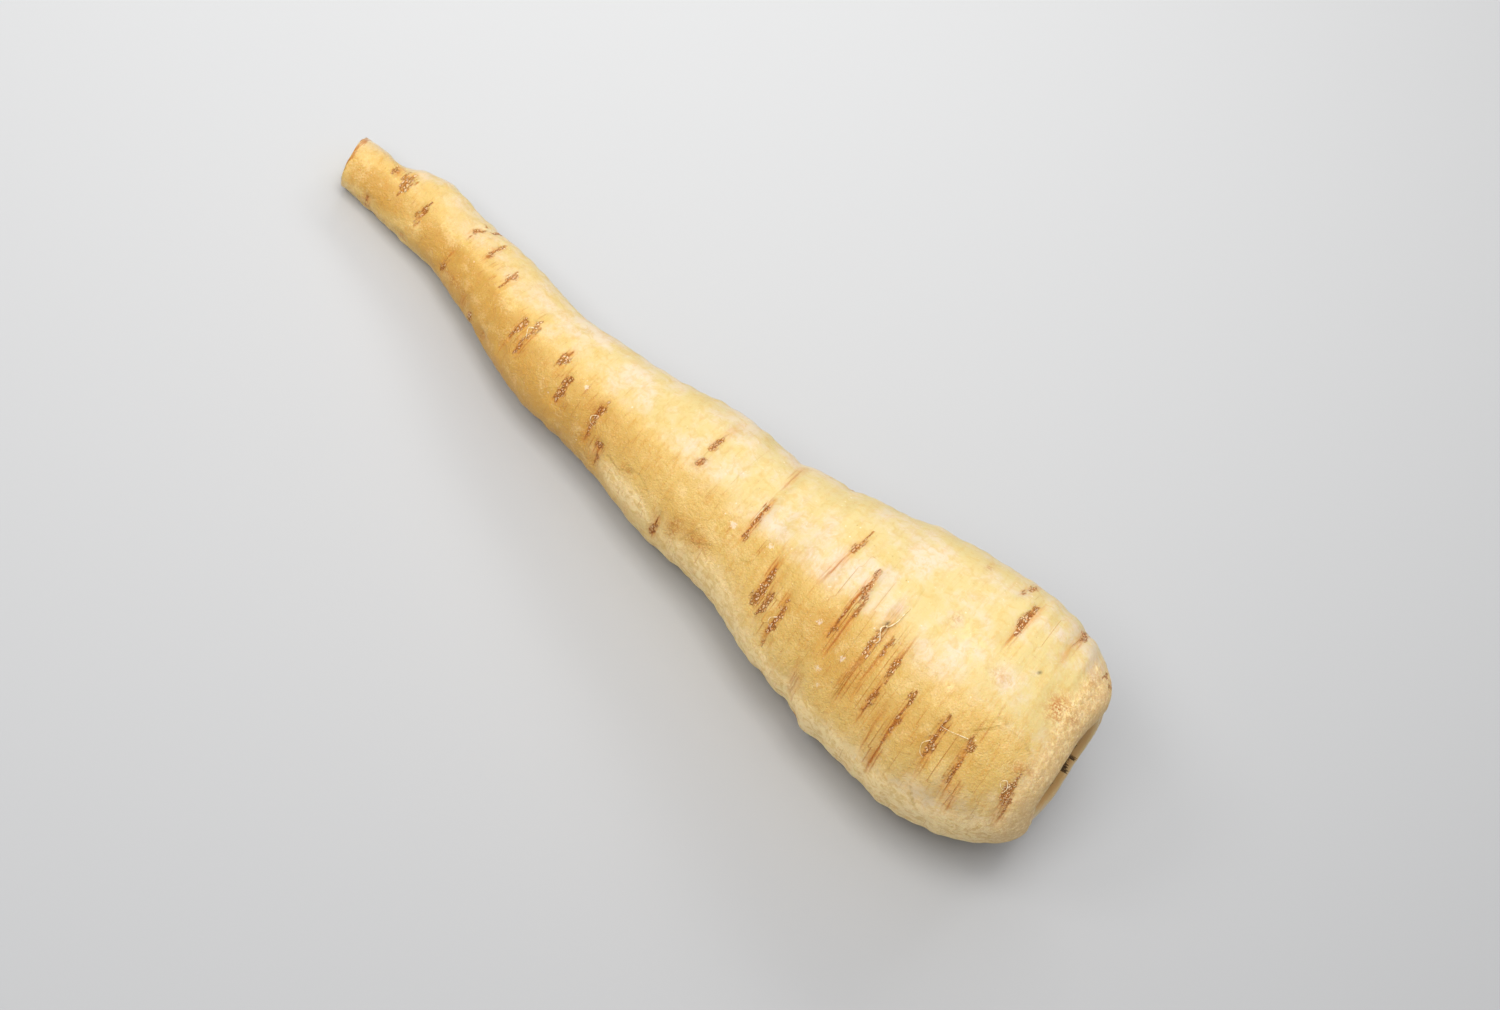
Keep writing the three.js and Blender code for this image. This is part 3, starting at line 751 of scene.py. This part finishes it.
# The chalky zones, partly painted light along the underside, then the short brown strokes and the russet
# stains
chalk_and_light_share = fade(pushed(chalk_and_light, (cloudy, 1.0)), 0.2, 0.8)
tan_specks = fade(pushed(fine, (crumbs, 0.6), (marbling, 0.8)), 0.42, 0.72)
chalk_and_light_colour = layer(tan_specks, paint(CHALK_AND_PAINTED_LIGHT), paint(CHALK_TAN))
chalk_and_light_colour = coat(chalk_and_light_colour, GOLDEN, fade(marbling, 0.46, 0.62), 0.5)
colour = layer(product(chalk_and_light_share, 0.85), colour, chalk_and_light_colour)
strokes = product(fade(hairlines, 0.58, 0.7), fade(cloudy, 0.46, 0.62))
stroke_share = plus(product(gold_share, 0.35), 0.12)
colour = coat(colour, SCAR_BROWN, strokes, stroke_share)
stained = fade(plus(fine, crumbs), 0.8, 1.2)
colour = coat(colour, SCAR_BROWN, russet, stained)

# The tan lip, and dots over the skin and the lip
lip_share = fade(pushed(raised, (cloudy, 9.0)), 9.0, 2.0)
colour = coat(colour, LIP_TAN, lip_share, fade(fine, 0.2, 0.6), 0.7)
pinpricks = dots(place, 1.5, 0.15, 0.3)
colour = coat(colour, PINPRICK, pinpricks, fade(cloudy, 0.35, 0.7), 0.55)
colour = coat(colour, CHIP_AND_HIGHLIGHT_WHITE, dots(place, 2.3, 0.12, 0.16), 0.35)
lip_dots = product(dots(place, 0.9, 0.2, 0.45), fade(raised, 9.0, 4.0))
colour = coat(colour, SCAR_BROWN, lip_dots, fade(cloudy, 0.4, 0.6), 0.75)

# Scars: a russet halo, a broken brown line, and a fainter one beside it
offset = maths("ABSOLUTE", pushed(scar_offset, (mottle(place, 3.2, 4.0), 0.8)))
halo = product(fade(offset, 1.7, 0.1), scar_brown, fade(streaks, 0.3, 0.6))
colour = coat(colour, RUSSET, halo, 0.75)
line = product(fade(offset, 0.4, 0.08), scar_brown, fade(hairlines, 0.36, 0.56))
colour = coat(colour, SCAR_BROWN, line, 0.9)
beside = fade(maths("ABSOLUTE", maths("SUBTRACT", offset, 0.8)), 0.26, 0.05)
colour = coat(colour, SCAR_BROWN, beside, scar_brown, fade(hairlines, 0.5, 0.62), 0.6)

# Knots: orange cork with brown patches, pale flakes and dark cracks, and the small holes
knot_edge = pushed(knot_inside, (fine, 1.4), (hairlines, 1.8))
knot_share = product(fade(knot_edge, 0.3, 0.75), fade(knot_inside, 0.0, 0.15))
cracks = add(
    tree, "TexVoronoi",
    {"Vector": stretch(place, (1.7, 0.9, 0.9)), "Scale": 1.0, "Randomness": 1.0},
    output="Distance", feature="DISTANCE_TO_EDGE")
cracks = pushed(cracks, (crumbs, 0.25))
knot_halo = product(fade(knot_inside, 0.0, 0.9), fade(streaks, 0.35, 0.6), 0.5)
cork_share = maths("MAXIMUM", product(knot_share, 0.6), knot_halo)
colour = coat(colour, CORK_ORANGE, cork_share)
colour = coat(colour, SCAR_BROWN, fade(fine, 0.52, 0.38), knot_share, knot_dark, 0.55)
flake_share = plus(product(knot_flaky, 0.6), 0.3)
flakes = product(fade(cracks, 0.12, 0.22), fade(crumbs, 0.42, 0.56))
colour = coat(colour, FLAKE_PALE, flakes, knot_share, flake_share)
colour = coat(colour, KNOT_DARK, fade(cracks, 0.1, 0.02), knot_share, knot_dark, 0.7)
colour = coat(colour, PIT_DARK, in_pit)

# Veins and scuffs
vein = product(fade(pushed(vein_offset, (fine, 0.6)), 0.5, 0.05), vein_strength)
colour = coat(colour, VEIN_OLIVE, vein, 0.7)
chip_share = fade(pushed(chip, (crumbs, 2.4)), 0.35, 0.75)
colour = coat(colour, CHIP_AND_HIGHLIGHT_WHITE, chip_share, 0.4)

# The hollow crown, tan darkening to brown towards its floor as painted shade, with a pale line along its
# rim that is a painted highlight; then the browned edge and the pale core of the cut tip
shade = fade(plus(in_hollow, product(fine, 0.3)), 0.45, 1.0)
hollow_colour = layer(shade, paint(HOLLOW_TAN), paint(HOLLOW_SHADE_BROWN))
colour = layer(fade(in_hollow, 0.02, 0.3), colour, hollow_colour)
# Painted highlight: a pale line along the rim of the crown's lip
lip_highlight = fade(pushed(lip_edge, (fine, 0.8)), 0.5, 0.95)
colour = coat(colour, CHIP_AND_HIGHLIGHT_WHITE, lip_highlight, fade(cloudy, 0.36, 0.6), 0.6)
end_line = fade(pushed(end_edge, (fine, 1.0), (cloudy, 0.8)), 0.5, 0.9)
colour = coat(colour, SCAR_BROWN, end_line, fade(hairlines, 0.35, 0.55), 0.7)
core_ring = fade(maths("ABSOLUTE", maths("SUBTRACT", on_cut, 0.42)), 0.1, 0.0)
core_colour = layer(product(core_ring, 0.5), paint(CORE_PALE), paint(GOLDEN))
core_colour = coat(core_colour, RUSSET, fade(on_cut, 0.16, 0.02))
colour = layer(fade(on_cut, 0.0, 0.03), colour, core_colour)

grit = plus(maths("MAXIMUM", gold_share, product(chalk_and_light_share, 0.7)), 0.25)
height = plus(product(fine, FINE_BUMP), product(crumbs, CRUMB_BUMP))
height = product(height, grit)
height = plus(height, product(streaks, STREAK_BUMP))
height = maths("SUBTRACT", height, product(line, LINE_CUT))
crumbled = product(knot_share, fade(cracks, 0.0, 0.25), FLAKE_BUMP)
height = plus(height, crumbled)
height = maths("SUBTRACT", height, product(vein, VEIN_CUT))

rough = layer(chalk_and_light_share, (WAXY, WAXY, WAXY, 1), (CHALKY, CHALKY, CHALKY, 1))
dry_share = maths("MAXIMUM", knot_share, in_hollow)
set_shader(skin, {
    "Base Color": colour,
    "Roughness": layer(dry_share, rough, (CORKY, CORKY, CORKY, 1)),
    "Normal": add(tree, "Bump", {"Height": height, "Strength": 1.0, "Distance": MM}),
    "IOR": SKIN_IOR,
    "Subsurface Weight": GLOW,
    "Subsurface Radius": GLOW_COLOURS,
    "Subsurface Scale": GLOW_REACH,
})
root_mesh.materials.append(skin)
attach(taproot, "root")
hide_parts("taproot")


# The leaf stubs are what is left of the leaf stalks: dry brown sheaths, ribbed and torn off short, standing
# in three whorls on one woody button that grew in the crown's hollow.
SEAT_GAP = 0.3
BUTTON_RADIUS = 6.4
BUTTON_THICKNESS = 1.6
WHORLS = [
    # stubs, distance from the middle, height, width, lean outwards in degrees
    (9, 4.7, 4.6, 3.2, 4), (6, 2.7, 5.7, 2.8, 2), (3, 1, 6.2, 2.2, 0),
]
STUB_FLATNESS = 0.55
STUB_SIDES = 40
STUB_ROWS = 16
STALK_BROWN = "#9a7440"
STALK_DARK = "#3a2410"
STALK_STRAW = "#c9a566"
STALK_ROUGH = 0.85


def closed_tube(rings):
    """Faces of a tube through rings of corners, with one more corner at each end to close it."""
    count, sides = rings.shape[:2]
    side = np.arange(sides)
    following = (side + 1) % sides
    start = sides * np.arange(count - 1)[:, None]
    walls = np.stack([start + side, start + following, start + sides + following, start + sides + side], -1)
    foot, top = count * sides, count * sides + 1
    last = sides * (count - 1)
    fans = [(foot, b, a) for a, b in zip(side.tolist(), following.tolist())]
    fans += [(top, last + a, last + b) for a, b in zip(side.tolist(), following.tolist())]
    corners = np.concatenate([rings.reshape(-1, 3), [rings[0].mean(0)], [rings[-1].mean(0)]])
    return corners, walls.reshape(-1, 4).tolist() + fans


def closed_tubes(tubes):
    """Corners and faces of several closed tubes in one mesh."""
    corners, faces = [], []
    for rings in tubes:
        more_corners, more_faces = closed_tube(rings)
        first = sum(len(part) for part in corners)
        faces += [[first + corner for corner in face] for face in more_faces]
        corners.append(more_corners)
    return np.concatenate(corners), faces


def stub_rings(whorl, index):
    """A flattened, ribbed sheath standing along +Y, curved round the crown's middle, with a torn top."""
    count, out, tall, wide, lean = whorl
    height = tall * (0.75 + 0.35 * fraction(0.1 + index * 0.618034))
    turn = np.arange(STUB_SIDES) * 2 * math.pi / STUB_SIDES
    rings = []
    for row in range(STUB_ROWS + 3):
        share = min(row / STUB_ROWS, 1)
        inset = 1 - 0.38 * max(row - STUB_ROWS, 0)  # the last rows close over the torn top
        ribs = 1 + 0.09 * np.cos(9 * turn + index + 2 * share) + 0.05 * np.cos(17 * turn + 3 * index)
        reach = wide * (0.5 - 0.28 * share) * ribs * inset
        across = reach * np.cos(turn)
        thick = reach * STUB_FLATNESS * np.sin(turn) - across ** 2 / (2 * out + 2)
        torn = 0.5 * np.sin(3 * turn + 2.1 * index) + 0.35 * np.sin(7 * turn + index)
        sink = 0.5 * max(row - STUB_ROWS, 0)
        tall_here = share * height + torn * smoothstep(share, 0.6, 1) - sink
        tilt = math.radians(lean)
        rings.append(np.stack([
            across,
            tall_here * math.cos(tilt) - thick * math.sin(tilt),
            thick * math.cos(tilt) + tall_here * math.sin(tilt) + out,
        ], -1))
    rings = np.array(rings)
    angle = 2 * math.pi * index / count + out
    spun = rings.copy()
    spun[..., 0] = rings[..., 0] * math.cos(angle) + rings[..., 2] * math.sin(angle)
    spun[..., 2] = rings[..., 2] * math.cos(angle) - rings[..., 0] * math.sin(angle)
    return spun


def button_rings():
    """The woody button: a low dome with a wrinkled edge."""
    profile = [(BUTTON_RADIUS - 0.2, 0), (BUTTON_RADIUS, 0.5), (BUTTON_RADIUS - 0.4, 1.2)]
    profile += [(BUTTON_RADIUS * (1 - i / 7), BUTTON_THICKNESS) for i in range(1, 7)]
    turn = np.arange(STUB_SIDES) * -2 * math.pi / STUB_SIDES
    wrinkle = 1 + 0.03 * np.cos(11 * turn) + 0.02 * np.cos(5 * turn + 1)
    return np.array([
        np.stack([radius * wrinkle * np.cos(turn), 0 * turn + height, radius * wrinkle * np.sin(turn)], -1)
        for radius, height in profile])


seat_middle, seat_up, _ = section(np.array([HOLLOW_DEPTH - SEAT_GAP]))
outwards = unit(section(np.array([1.0]))[0] - section(np.array([3.0]))[0])
across = np.cross(outwards, seat_up)
seat = np.concatenate([across, outwards, np.cross(across, outwards)])
shells = [button_rings()]
shells += [stub_rings(whorl, index) for whorl in WHORLS for index in range(whorl[0])]
stub_corners, stub_faces = closed_tubes(shells)
leaf_stubs, stubs_mesh = new_piece("leaf_stubs_dry", stub_corners @ seat + seat_middle, stub_faces)
fibre_place = []
for number, rings in enumerate(shells):
    own = number * 1.7  # sets each stub's fibres apart
    spin = np.tile(np.arange(rings.shape[1]) / rings.shape[1], rings.shape[0])
    rise = np.repeat(np.linspace(0, 1, rings.shape[0]), rings.shape[1])
    fibre_place.append(np.stack([spin, rise, np.full(len(spin), own)], -1))
    fibre_place.append([[0.5, 0, own], [0.5, 1, own]])
write_field(stubs_mesh, "fibre_place", fibre_place)

stalk, tree = new_material("dry_stalk")
place = place_in_mm(tree)
fibre_place, (_, rise, _) = parts_of(tree, "fibre_place")
ribs = mottle(stretch(fibre_place, (26.0, 1.5, 9.0)), 1.0, 3.0, 0.6)
crumbs = mottle(place, 0.5, 3.0)
colour = layer(fade(ribs, 0.36, 0.66), paint(STALK_DARK), paint(STALK_BROWN))
colour = coat(colour, STALK_STRAW, fade(ribs, 0.55, 0.75), fade(rise, 0.2, 0.9))
colour = coat(colour, STALK_DARK, fade(crumbs, 0.55, 0.8), 0.5)
height = plus(product(ribs, 0.4), product(crumbs, 0.1))
set_shader(stalk, {
    "Base Color": colour,
    "Roughness": STALK_ROUGH,
    "Normal": add(tree, "Bump", {"Height": height, "Distance": MM}),
})
stubs_mesh.materials.append(stalk)
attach(leaf_stubs, "root")
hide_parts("leaf_stubs")


# Rootlets: fine pale hairs that were left when the root was pulled and washed. Most lie flat on the skin;
# one curls out of the small hole that it grew from. Each is one tapering thread.
ROOTLETS = [
    # radius, then the along, the around and the height off the skin of the points that it runs through
    (0.17, [(47.4, 37.5, -0.6), (46.9, 38.6, 0.5), (46.2, 36.4, 0.6), (45.7, 33, 0.5), (45.6, 29.5, 0.5),
            (45.3, 25.2, 0.1)]),
    (0.16, [(47.3, 38.2, -0.4), (47.8, 40.4, 0.7), (47.2, 43, 0.9), (46.5, 45.5, 0.6), (46.9, 48, 0.3)]),
    (0.1, [(19.5, 55.6, -0.1), (21, 56.2, 0.3), (22.8, 57.2, 0.4), (24.8, 58.1, 0.1)]),
    (0.11, [(8.3, 70.5, 0), (8, 66.5, 0.6), (8.9, 62.5, 0.9), (9.8, 64.6, 0.8), (9, 67.6, 0.5),
            (7.6, 68.4, 0)]),
    (0.1, [(66.4, 73, 0), (67.4, 75.5, 0.5), (67.2, 79, 0.4), (66.2, 81, 0)]),
    (0.1, [(24.9, 66, 0), (25.8, 69, 0.4), (25.2, 73, 0.5), (24.2, 75, 0)]),
    (0.09, [(126.6, 57, 0), (127.4, 60, 0.5), (126.9, 65, 0.5), (126, 67, 0)]),
    (0.12, [(149.4, 36, 0), (150, 40, 0.5), (149.2, 46, 0.5), (148.8, 50, 0)]),
    (0.12, [(9, 150, 0), (10.5, 156, 0.8), (9.6, 163, 0.8), (8, 166, 0)]),
    (0.14, [(60, 232, 0), (61.6, 238, 0.9), (60.8, 245, 0.9), (58.6, 249, 0.1)]),
    (0.12, [(120, 250, 0), (121.2, 256, 0.7), (120.4, 264, 0.6), (118.8, 268, 0)]),
]
ROOTLET_SIDES = 6
ROOTLET_STEPS = 22
ROOTLET_TIP = 0.35  # its radius at the far end, as a share
ROOTLET_PALE = "#f7e7c4"
ROOTLET_STRAW = "#dcb877"
ROOTLET_ROUGH = 0.6


def skin_point(along, around, height):
    """A place at that height off the root's skin, in millimetres."""
    shoulder = LIP_RADIUS + (SHOULDER_RADIUS - LIP_RADIUS) * np.sqrt(
        np.clip(1 - (1 - along / SHOULDER_ALONG) ** 2, 0, 1))
    radius = np.where(along < SHOULDER_ALONG, shoulder, smooth_line(BODY_RADIUS, along))
    relief = lobe_height(along, around, radius) + fold_height(along, around)
    middle, up, front = section(along)
    angle = np.radians(around)[:, None]
    return middle + (radius + relief + height)[:, None] * (up * np.cos(angle) + front * np.sin(angle))


def thread_rings(radius, points):
    """Rings of corners round a smooth thread through the points, each facing along the thread."""
    at = np.arange(len(points), dtype=float)
    steps = np.linspace(0, at[-1], ROOTLET_STEPS)
    along, around, height = (
        smooth_line(np.stack([at, values], 1), steps) for values in np.array(points, float).T)
    middle = skin_point(along, around, height)
    run = unit(np.gradient(middle, axis=0))
    side = unit(np.cross(run, [0.31, 0.17, 0.93]))
    rise = np.cross(run, side)
    turn = np.arange(ROOTLET_SIDES) * 2 * math.pi / ROOTLET_SIDES
    taper = radius * (1 - (1 - ROOTLET_TIP) * steps / at[-1])
    around_ring = np.cos(turn)[None, :, None] * side[:, None] + np.sin(turn)[None, :, None] * rise[:, None]
    return middle[:, None] + taper[:, None, None] * around_ring


thread_corners, thread_faces = closed_tubes(thread_rings(radius, points) for radius, points in ROOTLETS)
rootlets, rootlet_mesh = new_piece("rootlets", thread_corners, thread_faces)
rootlet_skin, tree = new_material("rootlet_skin")
straw_share = fade(mottle(place_in_mm(tree), 0.8, 3.0), 0.4, 0.65)
set_shader(rootlet_skin, {
    "Base Color": layer(straw_share, paint(ROOTLET_PALE), paint(ROOTLET_STRAW)),
    "Roughness": ROOTLET_ROUGH,
})
rootlet_mesh.materials.append(rootlet_skin)
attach(rootlets, "root")


# Cork flakes: the dry skin of the knots breaks into small pale and brown crumbs that still cling to them.
FLAKES_PER_MM2 = 0.5
FLAKE_SMALL = (0.08, 0.14, 0.04)  # half sizes in millimetres
FLAKE_LARGE = (0.16, 0.5, 0.08)
FLAKE_SEED = 7
FLAKE_TILT = 0.4  # radians off the skin, either way
FLAKE_ROUGH = 0.8
FLAKE_BUMP_REACH = 0.0001  # metres


def grown_piece(name, base_mesh, tree, values):
    """A plain mesh object made by running a Geometry Nodes tree on a mesh, with its inputs set by name."""
    made = bpy.data.objects.new(name, base_mesh.copy())
    bpy.context.scene.collection.objects.link(made)
    modifier = made.modifiers.new(name, "NODES")
    modifier.node_group = tree
    for item in tree.interface.items_tree:
        if item.in_out == "INPUT" and item.name in values:
            modifier[item.identifier] = values[item.name]
    evaluated = made.evaluated_get(bpy.context.evaluated_depsgraph_get())
    grown = bpy.data.meshes.new_from_object(evaluated)
    made.modifiers.remove(modifier)
    made.data = grown
    grown.name = name
    return made


cork, tree = new_material("cork")
place = place_in_mm(tree)
crumbs = mottle(place, 0.6, 2.0)
bump = add(tree, "Bump", {"Height": mottle(place, 0.2, 2.0), "Distance": FLAKE_BUMP_REACH})
set_shader(cork, {
    "Base Color": layer(fade(crumbs, 0.36, 0.54), paint(FLAKE_PALE), paint(RUSSET)),
    "Roughness": FLAKE_ROUGH,
    "Normal": bump,
})

flake_tree, entry, leave = new_group("Geometry", "cork_flakes", {
    "Geometry": "Geometry", "Per Square Metre": "Float", "Seed": "Int", "Smallest": "Vector",
    "Largest": "Vector", "Material": "Material",
}, {"Geometry": "Geometry"})
knot_values = put(
    flake_tree, "GeometryNodeInputNamedAttribute", {"Name": "knot"}, data_type="FLOAT_VECTOR")
knot_parts = add(flake_tree, "SeparateXYZ", {0: knot_values}).node.outputs
density = product(knot_parts["X"], knot_parts["Z"], entry["Per Square Metre"])
spots = put(flake_tree, "GeometryNodeDistributePointsOnFaces", {
    "Mesh": entry["Geometry"], "Density": density, "Seed": entry["Seed"]}, output="Points")
spin = put(flake_tree, "FunctionNodeRandomValue", {
    0: (-FLAKE_TILT, -FLAKE_TILT, 0.0), 1: (FLAKE_TILT, FLAKE_TILT, 6.283), "Seed": entry["Seed"],
}, data_type="FLOAT_VECTOR")
spun = put(flake_tree, "FunctionNodeRotateRotation", {
    "Rotation": spots.node.outputs["Rotation"], "Rotate By": spin}, rotation_space="LOCAL")
size = put(flake_tree, "FunctionNodeRandomValue", {
    0: entry["Smallest"], 1: entry["Largest"], "Seed": entry["Seed"]}, data_type="FLOAT_VECTOR")
crumb = put(flake_tree, "GeometryNodeMeshIcoSphere", {"Radius": MM, "Subdivisions": 1}, output="Mesh")
placed = put(flake_tree, "GeometryNodeInstanceOnPoints", {
    "Points": spots, "Instance": crumb, "Rotation": spun, "Scale": size})
real = put(flake_tree, "GeometryNodeRealizeInstances", {"Geometry": placed})
painted = put(flake_tree, "GeometryNodeSetMaterial", {"Geometry": real, "Material": entry["Material"]})
flake_tree.links.new(painted, leave["Geometry"])
cork_flakes = grown_piece("cork_flakes", root_mesh, flake_tree, {
    "Per Square Metre": FLAKES_PER_MM2 / MM ** 2, "Seed": FLAKE_SEED, "Smallest": FLAKE_SMALL,
    "Largest": FLAKE_LARGE, "Material": cork,
})
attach(cork_flakes, "root")


# The floor is a plain pale table with a painted pool of light, palest towards the back and greyer towards
# the front. The light is that of a small studio: one soft box overhead, three in front of the root and one
# behind it, under a pale sky.
FLOOR_HALF = 4
FLOOR_GREY = (0.33, 0.33, 0.333, 1)
FLOOR_PAINTED_LIGHT = (0.61, 0.61, 0.607, 1)
FLOOR_PAINTED_LIGHT_AT = (-0.21, 0.23, 0.0)
FLOOR_FADE = 0.65  # metres over which the painted light fades out to the plain grey
FLOOR_ROUGH = 0.9
LAMPS = [
    # name, place, target and size in metres, and power in watts
    ("overhead", (-0.1, -0.3, 1.3), (0, 0, 0), (0.45, 0.45), 5.2),
    ("front", (-0.1, -0.6, 1.1), (0, 0, 0), (0.5, 0.4), 3.1),
    ("front_low", (-0.15, -1.0, 1.04), (0, 0, 0), (0.5, 0.3), 5.8),
    ("front_left", (-0.7, -0.85, 1.05), (0, 0, 0), (0.4, 0.4), 3.9),
    ("behind", (-0.5, 1.2, 1.0), (-0.4, 0.7, 0), (1.4, 0.5), 8.8),
]
SKY_COLOUR = (0.97, 0.98, 1, 1)
SKY_LOW = 0.35  # the sky brightens from here up: 0 is the horizon and 1 straight overhead
SKY_HIGH = 0.95
SKY_DIM = 0.3
SKY_BRIGHT = 0.8
floor_mesh = bpy.data.meshes.new("floor")
floor_mesh.from_pydata(
    [(-FLOOR_HALF, -FLOOR_HALF, 0), (FLOOR_HALF, -FLOOR_HALF, 0), (FLOOR_HALF, FLOOR_HALF, 0),
     (-FLOOR_HALF, FLOOR_HALF, 0)], [], [(0, 1, 2, 3)])
floor = bpy.data.objects.new("floor", floor_mesh)
bpy.context.scene.collection.objects.link(floor)
floor_paint, tree = new_material("floor_paint")
in_metres = add(tree, "TexCoord", {}, output="Object")
# Painted light: the floor's paint grows paler towards a place behind the root
from_painted_light = add(
    tree, "VectorMath", {0: in_metres, 1: FLOOR_PAINTED_LIGHT_AT}, output="Value", operation="DISTANCE")
set_shader(floor_paint, {
    "Base Color": layer(fade(from_painted_light, FLOOR_FADE, 0.0), FLOOR_GREY, FLOOR_PAINTED_LIGHT),
    "Roughness": FLOOR_ROUGH,
})
floor_mesh.materials.append(floor_paint)


def soft_box(name, place, target, size, power):
    light = bpy.data.lights.new(name, "AREA")
    light.shape = "RECTANGLE"
    light.size, light.size_y = size
    light.energy = power
    box = bpy.data.objects.new(name, light)
    box.location = place
    box.rotation_euler = (Vector(target) - Vector(place)).to_track_quat("-Z", "Y").to_euler()
    bpy.context.scene.collection.objects.link(box)


for lamp in LAMPS:
    soft_box(*lamp)
world = bpy.data.worlds.new("studio")
world.use_nodes = True
tree = world.node_tree
sky_place = add(tree, "TexCoord", {}, output="Generated")
sky_height = add(tree, "SeparateXYZ", {0: sky_place}, output="Z")
sky_light = add(tree, "MapRange", {0: sky_height, 1: SKY_LOW, 2: SKY_HIGH, 3: SKY_DIM, 4: SKY_BRIGHT})
fill(tree, tree.nodes["Background"], {"Color": SKY_COLOUR, "Strength": sky_light})
bpy.context.scene.world = world
